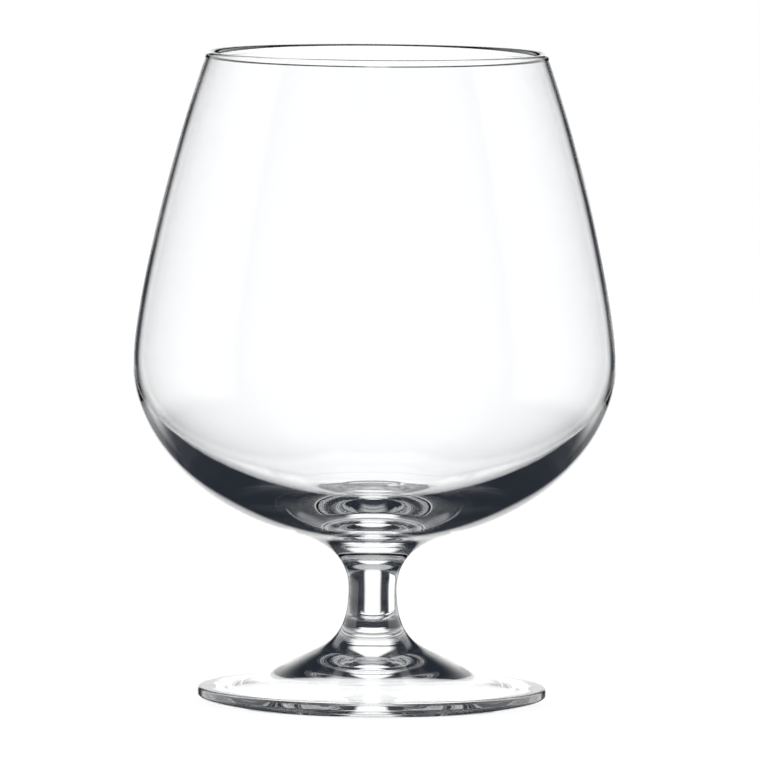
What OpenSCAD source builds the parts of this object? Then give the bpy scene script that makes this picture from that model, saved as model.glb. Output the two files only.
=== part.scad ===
// Stemmed drinking glass with a wide round bowl on a short stem: a bowl that narrows to its
// lip, a waisted stem and a disc foot, three glass pieces fused end to end.
// Millimetres, +Z up, with the origin under the middle of the foot, where the glass stands.
// The whole glass is one turned outline. Each piece is the stretch of it between two fused
// seams, so that the pieces meet face to face whatever the sizes are.

/* [Bowl] */
// Outer diameter of the bowl at its widest
belly_d = 100; // [92:0.5:108]
// Outer diameter of the lip, where the side runs into the round of the bead
lip_d = 70.7; // [64:0.1:76]
// Height of the bowl from its seam with the stem to the top of the lip
bowl_height = 102.9; // [96:0.1:110]
// Height of the widest place above the lowest point of the bowl's round underside
belly_drop = 37.9; // [35:0.1:41]
// How far the bowl reaches below its round underside, down to its seam with the stem
button_height = 1.5; // [1:0.1:2.5]
// Wall at the side of the bowl
wall = 1.35; // [1.1:0.05:1.9]
// Glass under the middle of the floor, above the lowest point of the round underside
floor_thickness = 4.8; // [4:0.1:7]
// How far the fire-polished bead round the lip stands proud of the wall, on the inside
bead_proud = 0.35; // [0.1:0.05:0.8]
// Lean of the side at the lip, inwards from upright, in degrees
lip_lean = 20; // [15:0.5:24]
// Diameter at which the round underside starts to turn down into the stem
neck_d = 33.6; // [28:0.2:38]

/* [Stem] */
// Length of the stem from its seam with the foot to its seam with the bowl
stem_length = 16.5; // [13:0.1:24]
// Diameter of the stem at its waist
waist_d = 9.9; // [8:0.1:12]
// Height of the waist above the seam with the foot, as a share of the stem's length
waist_share = 0.51; // [0.4:0.01:0.6]

/* [Foot] */
// Outer diameter of the foot
foot_d = 72.1; // [66:0.1:78]
// Height of the foot from the table to its seam with the stem
foot_height = 15; // [13.5:0.1:18]
// Thickness of the foot at its edge
edge_thickness = 3.2; // [2.8:0.05:3.8]
// Radius of the round on the upper side of the edge
edge_round = 0.7; // [0.4:0.05:0.9]
// How far the edge is drawn in on its way down to the table
edge_tuck = 2.9; // [1.5:0.1:4]
// Height above the table at which it starts to draw in
tuck_height = 1.7; // [1.2:0.1:2]
// Slope at which it reaches the ring that the glass stands on, in degrees
tuck_slope = 17; // [10:1:24]
// Width of the flat ring that the glass stands on
rest_width = 1.8; // [1:0.1:3]
// Height of the hollow under the foot at its middle
hollow_height = 7.5; // [6.5:0.1:8]
// Slope of the hollow's side where it leaves the ring that the glass stands on, in degrees
hollow_slope = 17; // [14:0.5:19]
// Diameter at which the stem's flare runs out into the cone of the foot
cone_d = 24; // [21:0.2:27]
// Height of the foot at that diameter
cone_height = 10.6; // [9:0.1:11.5]
// Slope of the cone there, down from level, in degrees
cone_slope = 25.5; // [20:0.5:30]
// Slope of the foot's upper side where it reaches the edge, in degrees
edge_slope = 2; // [0.5:0.5:6]

/* [Hidden] */

// Colour of the clear glass, a faint cool grey, and how much of it shows
glass_colour = [0.88, 0.92, 0.94];
glass_alpha = 0.4;
// Sides of a full turn, and steps along one drawn curve and one small round
$fn = 96;
curve_steps = 20;
round_steps = 10;

// How far each end of a drawn curve keeps its own direction, as a share of the way to go
side_belly_share = 0.175;
side_lip_share = 0.33;
neck_bowl_share = 0.2;
neck_waist_share = 0.77;
flare_waist_share = 0.66;
flare_cone_share = 0.6;
cone_share = 0.62;
rim_share = 0.34;
tuck_rest_share = 0.42;
tuck_side_share = 0.47;
floor_side_share = 0.63;
floor_middle_share = 0.45;
hollow_middle_share = 0.51;
hollow_rim_share = 0.4;

// Heights of the two seams, of the waist between them and of the top
foot_seam_z = foot_height;
bowl_seam_z = foot_seam_z + stem_length;
waist_z = foot_seam_z + stem_length * waist_share;
lip_top_z = bowl_seam_z + bowl_height;

// The round underside is the lower half of an ellipse below the widest place
underside_z = bowl_seam_z + button_height;
belly_r = belly_d / 2;
belly_z = underside_z + belly_drop;
// Angle along that ellipse at which it reaches the neck, counted from the widest place
neck_angle = acos(neck_d / belly_d);
neck_point = [neck_d / 2, belly_z - belly_drop * sin(neck_angle)];
neck_way = [-belly_r * sin(neck_angle), -belly_drop * cos(neck_angle)];

// Lip: the way along the side there, the way out of it, and the round of the bead
bead_r = (wall + bead_proud) / 2;
lip_way = [-sin(lip_lean), cos(lip_lean)];
lip_out = [cos(lip_lean), sin(lip_lean)];
bead_centre = [lip_d / 2 - bead_r * lip_out[0], lip_top_z - bead_r];
lip_point = bead_centre + bead_r * lip_out;
// Angle round the bead, counted from the lip point, at which it meets the inside of the wall
bead_end_angle = 360 - acos((bead_r - wall) / bead_r);

// Inside of the bowl
inner_r = belly_r - wall;
floor_z = underside_z + floor_thickness;

// Foot
foot_r = foot_d / 2;
edge_z = edge_thickness - edge_round;
rest_outer_r = foot_r - edge_tuck;
rest_inner_r = rest_outer_r - rest_width;
cone_point = [cone_d / 2, cone_height];
cone_way = [cos(cone_slope), -sin(cone_slope)];
edge_point = [foot_r - edge_round, edge_thickness];
edge_way = [cos(edge_slope), -sin(edge_slope)];
tuck_way = [cos(tuck_slope), sin(tuck_slope)];
hollow_way = [cos(hollow_slope), -sin(hollow_slope)];

// Point at share t of the way along the curve that leaves a towards b and reaches d from c
function along(a, b, c, d, t) =
    pow(1 - t, 3) * a + 3 * pow(1 - t, 2) * t * b + 3 * (1 - t) * pow(t, 2) * c + pow(t, 3) * d;

// Points of that curve, without its first
function curve(a, b, c, d) =
    [for (i = [1:curve_steps]) along(a, b, c, d, i / curve_steps)];

// Points on a round about a centre, whose half widths lie along two ways, without its first
function arc(centre, first, second, from, to) =
    [for (i = [1:round_steps])
        let (angle = from + (to - from) * i / round_steps)
        centre + cos(angle) * first + sin(angle) * second];

// Hollow under the foot, from its middle to the ring that the glass stands on. Its side runs
// alongside the upper side, so that the disc round the cone is about as thick everywhere.
function hollow() =
    concat(
        [[0, hollow_height]],
        curve([0, hollow_height],
            [rest_inner_r * hollow_middle_share, hollow_height],
            [rest_inner_r, 0] - hollow_way * rest_inner_r * hollow_rim_share,
            [rest_inner_r, 0]));

// Edge of the foot, from the ring round the tucked side to the upper side
function foot_edge() =
    concat(
        [[rest_outer_r, 0]],
        curve([rest_outer_r, 0],
            [rest_outer_r, 0] + tuck_way * edge_tuck * tuck_rest_share,
            [foot_r, tuck_height * (1 - tuck_side_share)],
            [foot_r, tuck_height]),
        [[foot_r, edge_z]],
        arc([foot_r - edge_round, edge_z], [edge_round, 0], [0, edge_round], 0, 90));

// Upper side of the foot, from the edge up the cone
function foot_top() =
    let (width = foot_r - cone_d / 2)
    curve(edge_point,
        edge_point - edge_way * width * rim_share,
        cone_point + cone_way * width * cone_share,
        cone_point);

// Flare from the cone of the foot up to the waist of the stem
function lower_flare() =
    let (rise = waist_z - cone_height)
    curve(cone_point,
        cone_point - cone_way * (cone_d - waist_d) / 2 * flare_cone_share,
        [waist_d / 2, waist_z - rise * flare_waist_share],
        [waist_d / 2, waist_z]);

// Flare from the waist of the stem out to the round underside of the bowl
function upper_flare() =
    let (rise = neck_point[1] - waist_z, width = neck_point[0] - waist_d / 2)
    curve([waist_d / 2, waist_z],
        [waist_d / 2, waist_z + rise * neck_waist_share],
        neck_point + neck_way / norm(neck_way) * width * neck_bowl_share,
        neck_point);

// Round underside of the bowl, from the neck to the widest place
function underside() =
    [for (i = [1:curve_steps])
        let (angle = neck_angle * (1 - i / curve_steps))
        [belly_r * cos(angle), belly_z - belly_drop * sin(angle)]];

// Side of the bowl, from the widest place to the lip
function side() =
    let (rise = lip_point[1] - belly_z)
    curve([belly_r, belly_z],
        [belly_r, belly_z + rise * side_belly_share],
        lip_point - lip_way * rise * side_lip_share,
        lip_point);

// Bead of the lip, from the outside over the top and down to the inside of the wall
function bead() =
    arc(bead_centre, bead_r * lip_out, bead_r * lip_way, 0, bead_end_angle);

// Inside of the side, from the bead down to the widest place
function inner_side() =
    let (top = bead()[round_steps - 1], rise = top[1] - belly_z)
    curve(top,
        top - lip_way * rise * side_lip_share,
        [inner_r, belly_z + rise * side_belly_share],
        [inner_r, belly_z]);

// Inside of the bottom, from the widest place to the middle of the floor
function inner_bottom() =
    curve([inner_r, belly_z],
        [inner_r, belly_z - (belly_z - floor_z) * floor_side_share],
        [inner_r * floor_middle_share, floor_z],
        [0, floor_z]);

// Half section of the whole glass, from the hollow of the foot round to the floor of the bowl
module half_section() {
    polygon(concat(hollow(), foot_edge(), foot_top(), lower_flare(), upper_flare(),
        underside(), side(), bead(), inner_side(), inner_bottom()));
}

// The glass between two heights
module turned(low_z, high_z) {
    rotate_extrude()
        intersection() {
            half_section();
            translate([0, low_z]) square([belly_d, high_z - low_z]);
        }
}

// Bowl, with the short button under it that the stem is fused to
module bowl() {
    color(glass_colour, glass_alpha) turned(bowl_seam_z, lip_top_z);
}

// Solid waisted stem
module stem() {
    color(glass_colour, glass_alpha) turned(foot_seam_z, bowl_seam_z);
}

// Disc foot with its cone, hollow underneath and standing on a narrow ring
module foot() {
    color(glass_colour, glass_alpha) turned(0, foot_seam_z);
}

bowl();
stem();
foot();
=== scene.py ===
# %% [markdown]
# # A brandy snifter in clear glass
# A snifter is three gathers of glass fused end to end: a wide bowl that narrows to its lip,
# a short waisted stem and a disc foot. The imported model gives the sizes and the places. Here
# each of the three gets a finer skin, because clear glass shows every facet of a coarse one.

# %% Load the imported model
from math import acos, cos, degrees, radians, sin

import bmesh
import bpy
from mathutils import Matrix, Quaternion, Vector
from mathutils.geometry import interpolate_bezier


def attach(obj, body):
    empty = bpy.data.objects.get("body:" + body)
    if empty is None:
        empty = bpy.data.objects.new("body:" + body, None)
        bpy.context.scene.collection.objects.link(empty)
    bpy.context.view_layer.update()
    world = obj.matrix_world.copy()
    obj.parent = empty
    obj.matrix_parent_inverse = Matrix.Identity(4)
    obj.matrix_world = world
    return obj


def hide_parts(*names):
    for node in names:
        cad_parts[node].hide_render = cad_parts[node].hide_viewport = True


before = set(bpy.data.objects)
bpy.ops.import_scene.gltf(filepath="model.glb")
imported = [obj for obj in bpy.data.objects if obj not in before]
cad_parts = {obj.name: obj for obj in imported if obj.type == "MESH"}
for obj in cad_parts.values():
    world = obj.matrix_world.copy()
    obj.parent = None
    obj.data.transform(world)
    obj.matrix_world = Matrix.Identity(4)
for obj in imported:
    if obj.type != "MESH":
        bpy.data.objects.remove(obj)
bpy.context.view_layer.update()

# %% [markdown]
# ## The outline
# The real glass is turned or pressed round one axis, so one drawn line describes all of it.
# The sizes below are the designer's own, in millimetres, and the line is drawn from them with
# the same curves as in the model, only in finer steps. A curve is set by its two ends, by the
# way it takes there, and by how far it keeps to that way, as a share of the way to go.

# %% Sizes of the glass in millimetres
belly_d, lip_d, neck_d = 100, 70.7, 33.6
bowl_height, belly_drop, button_height = 102.9, 37.9, 1.5
wall, floor_thickness, bead_proud, lip_lean = 1.35, 4.8, 0.35, 20
stem_length, waist_d, waist_share = 16.5, 9.9, 0.51
foot_d, foot_height, edge_thickness, edge_round = 72.1, 15, 3.2, 0.7
edge_tuck, tuck_height, tuck_slope = 2.9, 1.7, 17
rest_width, hollow_height, hollow_slope = 1.8, 7.5, 17
cone_d, cone_height, cone_slope, edge_slope = 24, 10.6, 25.5, 2

foot_seam_z = foot_height
bowl_seam_z = foot_seam_z + stem_length
lip_top_z = bowl_seam_z + bowl_height
underside_z = bowl_seam_z + button_height
belly_z = underside_z + belly_drop
waist_z = foot_seam_z + stem_length * waist_share
print("seams at", foot_seam_z, "and", bowl_seam_z, "mm, top of the lip at", lip_top_z, "mm")


# %% Curves of the outline
curve_steps = 40
long_curve_steps = 60
floor_steps = 80
round_steps = 20
small_round_steps = 10


def point(r, z):
    return Vector((r, 0, z))


def way(angle):
    return point(cos(radians(angle)), sin(radians(angle)))


def curve(a, b, c, d, steps=curve_steps):
    """Points of the curve that leaves a towards b and reaches d from c, without the first."""
    return interpolate_bezier(a, b, c, d, steps + 1)[1:]


def round_points(centre, first, second, start, end, steps=round_steps):
    """Points on a round about centre, whose half widths lie along two ways, without the first."""
    angles = [radians(start + (end - start) * i / steps) for i in range(1, steps + 1)]
    return [centre + cos(a) * first + sin(a) * second for a in angles]


# %% [markdown]
# ### The foot's line
# A foot stands on a narrow ring, because a ring finds its level on a table that isn't quite
# flat. Inside the ring the glass is hollowed, and outside it the edge is drawn in by the heat
# that polishes it. On top, the disc climbs slowly and then steeply into the stem, and the
# hollow climbs alongside it. A ray that enters the disc leaves it again below, so the disc is
# clear. Under the cone the two sides part, the ray stays caught, and the cone looks dark.

# %% Line of the foot
hollow_middle_share, hollow_rim_share = 0.51, 0.4
tuck_rest_share, tuck_side_share = 0.42, 0.47
rim_share, cone_share = 0.34, 0.62
foot_r = foot_d / 2
edge_z = edge_thickness - edge_round
rest_outer = point(foot_r - edge_tuck, 0)
rest_inner = point(foot_r - edge_tuck - rest_width, 0)
cone = point(cone_d / 2, cone_height)

hollow_top = point(0, hollow_height)
hollow = [hollow_top]
hollow += curve(hollow_top, hollow_top + point(rest_inner.x * hollow_middle_share, 0),
                rest_inner - way(-hollow_slope) * rest_inner.x * hollow_rim_share, rest_inner,
                long_curve_steps)
edge_line = [rest_outer]
edge_line += curve(rest_outer, rest_outer + way(tuck_slope) * edge_tuck * tuck_rest_share,
                   point(foot_r, tuck_height * (1 - tuck_side_share)), point(foot_r, tuck_height))
edge_line += [point(foot_r, edge_z)]
edge_line += round_points(point(foot_r - edge_round, edge_z), point(edge_round, 0),
                          point(0, edge_round), 0, 90, small_round_steps)
disc_width = foot_r - cone_d / 2
top_line = curve(edge_line[-1], edge_line[-1] - way(-edge_slope) * disc_width * rim_share,
                 cone + way(-cone_slope) * disc_width * cone_share, cone)
print("line of the foot:", len(hollow + edge_line + top_line), "points")

# %% [markdown]
# ### The stem's line
# The stem is short, so it is all flare: from the cone of the foot it draws in to a waist and
# opens again into the round underside of the bowl.

# %% Line of the stem
flare_cone_share, flare_waist_share = 0.6, 0.66
neck_waist_share, neck_bowl_share = 0.77, 0.2
waist = point(waist_d / 2, waist_z)
neck_angle = acos(neck_d / belly_d)
neck = point(neck_d / 2, belly_z - belly_drop * sin(neck_angle))
neck_way = point(-belly_d / 2 * sin(neck_angle), -belly_drop * cos(neck_angle)).normalized()

lower_flare = curve(cone, cone - way(-cone_slope) * (cone_d - waist_d) / 2 * flare_cone_share,
                    waist - point(0, (waist_z - cone_height) * flare_waist_share), waist)
upper_flare = curve(waist, waist + point(0, (neck.z - waist_z) * neck_waist_share),
                    neck + neck_way * (neck.x - waist.x) * neck_bowl_share, neck)
print("waist", waist.x * 2, "mm thick at", round(waist_z, 1), "mm")

# %% [markdown]
# ### The bowl's line
# Outside, the underside is half an ellipse and the side leans in to the lip. There the line
# turns round the bead, which a flame leaves where it melts the cut edge, and comes back down
# inside, a wall's thickness away, until it spreads over the thick floor of the bowl.

# %% Outside and lip of the bowl
side_belly_share, side_lip_share = 0.175, 0.33
belly = point(belly_d / 2, belly_z)
bead_r = (wall + bead_proud) / 2
lip_out, lip_up = way(lip_lean), way(90 + lip_lean)
bead_centre = point(lip_d / 2, lip_top_z) - point(bead_r * lip_out.x, bead_r)
lip = bead_centre + bead_r * lip_out
bead_end = 360 - degrees(acos((bead_r - wall) / bead_r))

underside = round_points(point(0, belly_z), point(belly_d / 2, 0), point(0, belly_drop),
                         -degrees(neck_angle), 0, long_curve_steps)
rise = lip.z - belly_z
side = curve(belly, belly + point(0, rise * side_belly_share),
             lip - lip_up * rise * side_lip_share, lip, long_curve_steps)
bead = round_points(bead_centre, bead_r * lip_out, bead_r * lip_up, 0, bead_end)
print("bead", round(2 * bead_r, 2), "mm thick round the lip")

# %% Inside of the bowl
floor_side_share, floor_middle_share = 0.63, 0.45
inner_rise = bead[-1].z - belly_z
inner_belly = point(belly_d / 2 - wall, belly_z)
inner_side = curve(bead[-1], bead[-1] - lip_up * inner_rise * side_lip_share,
                   inner_belly + point(0, inner_rise * side_belly_share), inner_belly,
                   long_curve_steps)
floor_middle = point(0, underside_z + floor_thickness)
inner_drop = belly_z - floor_middle.z
inner_bottom = curve(inner_belly, inner_belly - point(0, inner_drop * floor_side_share),
                     floor_middle + point(inner_belly.x * floor_middle_share, 0), floor_middle,
                     floor_steps)
outline = (hollow + edge_line + top_line + lower_flare + upper_flare + underside + side
           + bead + inner_side + inner_bottom)
print("whole outline:", len(outline), "points")

# %% [markdown]
# ## Turning the glass
# Spin sweeps the line once round the axis, as a turner's template would. The full turn is
# merged on itself, and the points on the axis are merged into poles, so the skin is closed.

# %% Turn the outline into one closed skin
turn_steps = 180
same_point = 1e-6


def put_in_order(bm):
    """Sort edges and faces by their points, because spin lists them differently each run."""
    bm.verts.index_update()
    count = len(bm.verts)

    def place(part):
        numbers = [vert.index for vert in part.verts]
        return min(numbers) * count + max(numbers)

    bm.edges.sort(key=place)
    bm.faces.sort(key=place)


def turned_glass():
    bm = bmesh.new()
    verts = [bm.verts.new(p / 1000) for p in outline]
    edges = [bm.edges.new(pair) for pair in zip(verts, verts[1:])]
    bmesh.ops.spin(bm, geom=verts + edges, cent=(0, 0, 0), axis=(0, 0, 1),
                   angle=radians(360), steps=turn_steps, use_merge=True)
    bmesh.ops.remove_doubles(bm, verts=bm.verts, dist=same_point)
    put_in_order(bm)
    bmesh.ops.recalc_face_normals(bm, faces=bm.faces)
    return bm


whole = turned_glass()
print("skin:", len(whole.faces), "faces, volume", round(whole.calc_volume() * 1e9), "mm3")

# %% [markdown]
# ## Three gathers, two seams
# A glassmaker joins hot glass to hot glass, and the join stays just visible as a level seam.
# Each piece is the skin cut at its seams and closed there with a disc. The discs have their
# own finish, the second slot, because light goes through a seam almost without a turn. A
# hundredth of a millimetre is left between two discs, so that a ray always knows which of them
# it meets first.

# %% Cut the skin at its seams
seam_gap = 0.01
on_the_cut = 1e-7
seam_slot = 1
crease_angle = 40


def piece(name, low_z, high_z):
    bm = whole.copy()
    for z, outwards in ((low_z, -1), (high_z, 1)):
        if z is None:
            continue
        cut_z = z - outwards * seam_gap / 2
        cut = bmesh.ops.bisect_plane(bm, geom=bm.verts[:] + bm.edges[:] + bm.faces[:],
                                     plane_co=(0, 0, cut_z / 1000), plane_no=(0, 0, outwards),
                                     clear_outer=True, dist=on_the_cut)
        rim = [e for e in cut["geom_cut"] if isinstance(e, bmesh.types.BMEdge)]
        for face in bmesh.ops.contextual_create(bm, geom=rim)["faces"]:
            face.material_index = seam_slot
    bmesh.ops.recalc_face_normals(bm, faces=bm.faces)
    for face in bm.faces:
        face.smooth = face.material_index != seam_slot
    mesh = bpy.data.meshes.new(name)
    bm.to_mesh(mesh)
    print(name, len(bm.faces), "faces,", round(bm.calc_volume() * 1e9), "mm3,",
          sum(not e.is_manifold for e in bm.edges), "open edges")
    bm.free()
    mesh.set_sharp_from_angle(angle=radians(crease_angle))
    obj = bpy.data.objects.new(name, mesh)
    bpy.context.scene.collection.objects.link(obj)
    return obj


bowl_glass = piece("bowl_glass", bowl_seam_z, None)
stem_glass = piece("stem_glass", foot_seam_z, bowl_seam_z)
foot_glass = piece("foot_glass", None, foot_seam_z)
whole.free()

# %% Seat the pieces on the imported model
for obj, node in ((bowl_glass, "bowl"), (stem_glass, "stem"), (foot_glass, "foot")):
    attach(obj, "root")
    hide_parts(node)
print("three pieces ride on the root body")

# %% [markdown]
# ## Clear glass
# Soda-lime glass bends light by about 1.52, and its iron takes a little of the light away. A
# fire-polished skin has no grain, but it isn't a perfect mirror either: long shallow waves from
# the mould and the flame make its highlights wander a little. A seam bends light only by 1.004,
# which is enough to show it as a thin bright line, as in the photograph.

# %% Skin of fire-polished glass, as a node group
waves_per_metre = 60.0
wave_height = 0.02


def skin_group():
    group = bpy.data.node_groups.new("fire_polish", "ShaderNodeTree")
    sockets = group.interface
    for name, value in (("Waves per metre", waves_per_metre), ("Wave height", wave_height)):
        socket = sockets.new_socket(name, in_out="INPUT", socket_type="NodeSocketFloat")
        socket.default_value = value
    sockets.new_socket("Waves", in_out="OUTPUT", socket_type="NodeSocketFloat")
    nodes, links = group.nodes, group.links
    start, end = nodes.new("NodeGroupInput"), nodes.new("NodeGroupOutput")
    place = nodes.new("ShaderNodeTexCoord")
    noise = nodes.new("ShaderNodeTexNoise")
    noise.inputs["Detail"].default_value = 1.0
    links.new(place.outputs["Object"], noise.inputs["Vector"])
    links.new(start.outputs["Waves per metre"], noise.inputs["Scale"])
    scale = nodes.new("ShaderNodeMath")
    scale.operation = "MULTIPLY"
    links.new(noise.outputs["Fac"], scale.inputs[0])
    links.new(start.outputs["Wave height"], scale.inputs[1])
    links.new(scale.outputs[0], end.inputs["Waves"])
    return group


fire_polish = skin_group()
print("skin waves:", waves_per_metre, "to the metre")


# %% Finishes of the glass
def glass(name, ior, waves):
    material = bpy.data.materials.new(name)
    material.use_nodes = True
    nodes, links = material.node_tree.nodes, material.node_tree.links
    shader = nodes["Principled BSDF"]
    shader.inputs["Base Color"].default_value = (0.985, 0.99, 0.995, 1)
    shader.inputs["Roughness"].default_value = 0.0
    shader.inputs["IOR"].default_value = ior
    shader.inputs["Transmission Weight"].default_value = 1.0
    if waves:
        skin = nodes.new("ShaderNodeGroup")
        skin.node_tree = fire_polish
        skin.inputs["Wave height"].default_value = waves
        bump = nodes.new("ShaderNodeBump")
        bump.inputs["Strength"].default_value = 1.0
        bump.inputs["Distance"].default_value = 0.001
        links.new(skin.outputs["Waves"], bump.inputs["Height"])
        links.new(bump.outputs["Normal"], shader.inputs["Normal"])
    return material


clear_glass = glass("clear_glass", 1.52, wave_height)
fused_seam = glass("fused_seam", 1.004, 0)
for obj in (bowl_glass, stem_glass, foot_glass):
    obj.data.materials.append(clear_glass)
    obj.data.materials.append(fused_seam)
print("finishes:", clear_glass.name, "and", fused_seam.name)

# %% [markdown]
# ## Room and floor
# Glass has no colour of its own to light, so it is drawn by what stands round it. In front of
# a bright screen its middle is white, and the dark of the room beside the screen is bent into
# its edges as thin dark lines. The room here is dark, with a tall screen behind the glass that
# widens at its foot, a pale ceiling, and a wide grey screen behind the camera.
#
# Three kinds of screens are hidden from some of the rays. One more tall screen for each other
# side that the glass is looked through from shows only to rays that no skin has thrown back,
# or its light would wander round the wall into every view. A screen at either side shows only
# in the first reflection, where it keeps the sides of the bowl from looking grey. The wide
# foot of the screen behind is left out there, because it would whiten the dark underside.

# %% Small helpers for node trees
def maths(tree, operation, *values):
    """A Math node in a tree, fed with numbers or with the outputs of other nodes."""
    node = tree.nodes.new("ShaderNodeMath")
    node.operation = operation
    for socket, value in zip(node.inputs, values):
        if isinstance(value, (int, float)):
            socket.default_value = value
        else:
            tree.links.new(value, socket)
    return node.outputs[0]


def step_down(tree, value):
    """1 up to -1 and 0 from 1 on, with a smooth step between."""
    node = tree.nodes.new("ShaderNodeMapRange")
    node.interpolation_type = "SMOOTHSTEP"
    tree.links.new(value, node.inputs["Value"])
    for name, number in (("From Min", -1), ("From Max", 1), ("To Min", 1), ("To Max", 0)):
        node.inputs[name].default_value = number
    return node.outputs[0]


def mix_colours(tree, factor, first, second):
    """From the first colour at 0 to the second at 1, and on beyond it."""
    node = tree.nodes.new("ShaderNodeMix")
    node.data_type = "RGBA"
    node.clamp_factor = False
    for name, value in (("Factor", factor), ("A", first), ("B", second)):
        socket = [i for i in node.inputs if i.name == name and i.enabled][0]
        if isinstance(value, tuple):
            socket.default_value = value
        else:
            tree.links.new(value, socket)
    return [o for o in node.outputs if o.enabled][0]


# %% Soft-edged screen, as a node group
def screen_group():
    """How much of a screen shows in a direction: 1 on it, 0 beside it. All angles in radians."""
    group = bpy.data.node_groups.new("soft_screen", "ShaderNodeTree")
    sockets = group.interface
    sockets.new_socket("Direction", in_out="INPUT", socket_type="NodeSocketVector")
    for name in ("Heading", "Half width", "Bottom", "Top", "Softness"):
        sockets.new_socket(name, in_out="INPUT", socket_type="NodeSocketFloat")
    sockets.new_socket("Share", in_out="OUTPUT", socket_type="NodeSocketFloat")
    start, end = group.nodes.new("NodeGroupInput"), group.nodes.new("NodeGroupOutput")
    given = start.outputs
    split = group.nodes.new("ShaderNodeSeparateXYZ")
    group.links.new(given["Direction"], split.inputs[0])
    heading = maths(group, "ARCTAN2", split.outputs["X"], split.outputs["Y"])
    height = maths(group, "ARCSINE", split.outputs["Z"])
    beside = maths(group, "SUBTRACT", heading, given["Heading"])
    beside = maths(group, "ABSOLUTE", maths(group, "WRAP", beside, radians(180), radians(-180)))
    share = None
    for over in (maths(group, "SUBTRACT", beside, given["Half width"]),
                 maths(group, "SUBTRACT", height, given["Top"]),
                 maths(group, "SUBTRACT", given["Bottom"], height)):
        inside = step_down(group, maths(group, "DIVIDE", over, given["Softness"]))
        share = maths(group, "MULTIPLY", share, inside) if share else inside
    group.links.new(share, end.inputs["Share"])
    return group


soft_screen = screen_group()

# %% Screens of the room
# Each has its heading from +Y towards +X, half width, bottom, top and softness in degrees, and
# its strength, where 1 is white
all_round = 400


def screen_behind(heading, lowered):
    return [(heading, 13, -25 - lowered, 55 - lowered, 3, 1.18),
            (heading, 20, -47 - lowered, -22 - lowered, 3, 1.25)]


upright, wide_foot = screen_behind(0, 0)
plain_screens = [upright, (180, 60, -40, 30, 20, 0.5), (0, all_round, 55, 200, 6, 0.6)]
inner_screens = [wide_foot]
through_screens = screen_behind(-90, 0) + screen_behind(-45, 19) + screen_behind(135, 9)
mirrored_screens = [(68, 40, -20, 45, 5, 1.7), (-68, 40, -20, 45, 5, 1.7)]
room_colour = (0.02, 0.024, 0.032, 1)
white_colour = (1.0, 1.0, 1.0, 1)


def brightest(tree, direction, screens):
    """Strength of the brightest of some screens in a direction."""
    best = 0.0
    for *angles, strength in screens:
        screen = tree.nodes.new("ShaderNodeGroup")
        screen.node_tree = soft_screen
        tree.links.new(direction, screen.inputs["Direction"])
        for name, angle in zip(("Heading", "Half width", "Bottom", "Top", "Softness"), angles):
            screen.inputs[name].default_value = radians(angle)
        best = maths(tree, "MAXIMUM", maths(tree, "MULTIPLY", screen.outputs["Share"], strength), best)
    return best


print("screens:", len(plain_screens), "plain,", len(inner_screens), "for rays inside the glass,",
      len(through_screens), "for looking through,", len(mirrored_screens), "for the first reflection")


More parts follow.
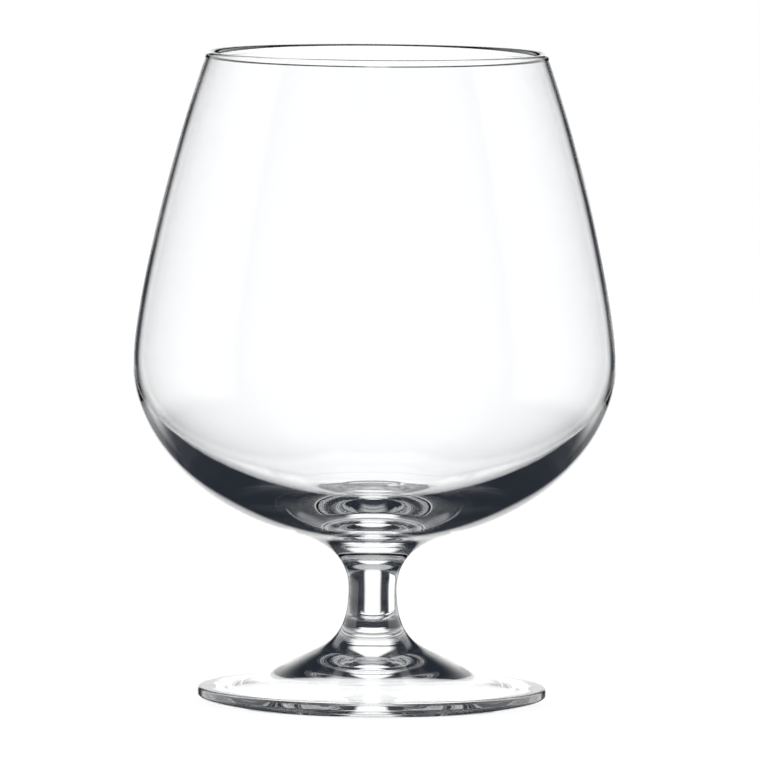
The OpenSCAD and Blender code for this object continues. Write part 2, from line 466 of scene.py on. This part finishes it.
# %% Room
def build_room():
    world = bpy.data.worlds.new("studio")
    world.use_nodes = True
    tree = world.node_tree
    tree.nodes.clear()
    direction = tree.nodes.new("ShaderNodeTexCoord").outputs["Generated"]
    path = tree.nodes.new("ShaderNodeLightPath").outputs
    best = brightest(tree, direction, plain_screens)
    for screens, comparison, depth in ((inner_screens, "GREATER_THAN", "Transmission Depth"),
                                       (through_screens, "LESS_THAN", "Glossy Depth"),
                                       (mirrored_screens, "LESS_THAN", "Transmission Depth")):
        seen = maths(tree, comparison, path[depth], 0.5)
        shown = maths(tree, "MULTIPLY", brightest(tree, direction, screens), seen)
        best = maths(tree, "MAXIMUM", best, shown)
    room = mix_colours(tree, best, room_colour, white_colour)
    paper = maths(tree, "MAXIMUM", path["Is Camera Ray"], path["Is Diffuse Ray"])
    light = tree.nodes.new("ShaderNodeBackground")
    tree.links.new(mix_colours(tree, paper, room, white_colour), light.inputs["Color"])
    out = tree.nodes.new("ShaderNodeOutputWorld")
    tree.links.new(light.outputs[0], out.inputs["Surface"])
    return world


bpy.context.scene.world = build_room()
print("the camera and the floor see white paper, the glass sees the room")

# %% Length of the light's way
# Light that is caught in the thick floor is thrown back many times before it finds a way out
cycles = bpy.context.scene.cycles
cycles.max_bounces = cycles.glossy_bounces = cycles.transmission_bounces = 32

# %% White floor that keeps a soft shadow
floor_r = 1.2
bm = bmesh.new()
bmesh.ops.create_circle(bm, cap_ends=True, segments=128, radius=floor_r)
floor_mesh = bpy.data.meshes.new("floor")
bm.to_mesh(floor_mesh)
bm.free()
floor = bpy.data.objects.new("floor", floor_mesh)
bpy.context.scene.collection.objects.link(floor)
# The glass sees the room's screens also below the horizon, where they stand for the paper
# that runs down from them and forward under it
floor.visible_transmission = False
floor.visible_glossy = False


def floor_finish():
    material = bpy.data.materials.new("white_floor")
    material.use_nodes = True
    shader = material.node_tree.nodes["Principled BSDF"]
    shader.inputs["Base Color"].default_value = (0.1, 0.1, 0.1, 1)
    shader.inputs["Roughness"].default_value = 1.0
    shader.inputs["Specular IOR Level"].default_value = 0.0
    shader.inputs["Emission Color"].default_value = white_colour
    shader.inputs["Emission Strength"].default_value = 0.93
    return material


floor_mesh.materials.append(floor_finish())
print("floor of", 2 * floor_r, "m across")

# %% [markdown]
# ## Camera
# The photograph was taken from well back with a long lens, a little above the glass: the lip
# shows as a thin ellipse, and the sides hardly converge. The glass leans half a degree in it.

# %% Camera
camera_data = bpy.data.cameras.new("camera")
camera_data.sensor_width = 36
camera_data.lens = 604.2
camera_data.clip_end = 20
camera = bpy.data.objects.new("camera", camera_data)
bpy.context.scene.collection.objects.link(camera)
camera.location = (0, -2.62523, 0.26003)
aim = Vector((0.00115, 0, 0.06665))
turn = (aim - camera.location).to_track_quat("-Z", "Y")
camera.rotation_mode = "QUATERNION"
camera.rotation_quaternion = turn @ Quaternion((0, 0, 1), radians(0.5))
bpy.context.scene.camera = camera
bpy.context.scene.view_settings.view_transform = "Standard"
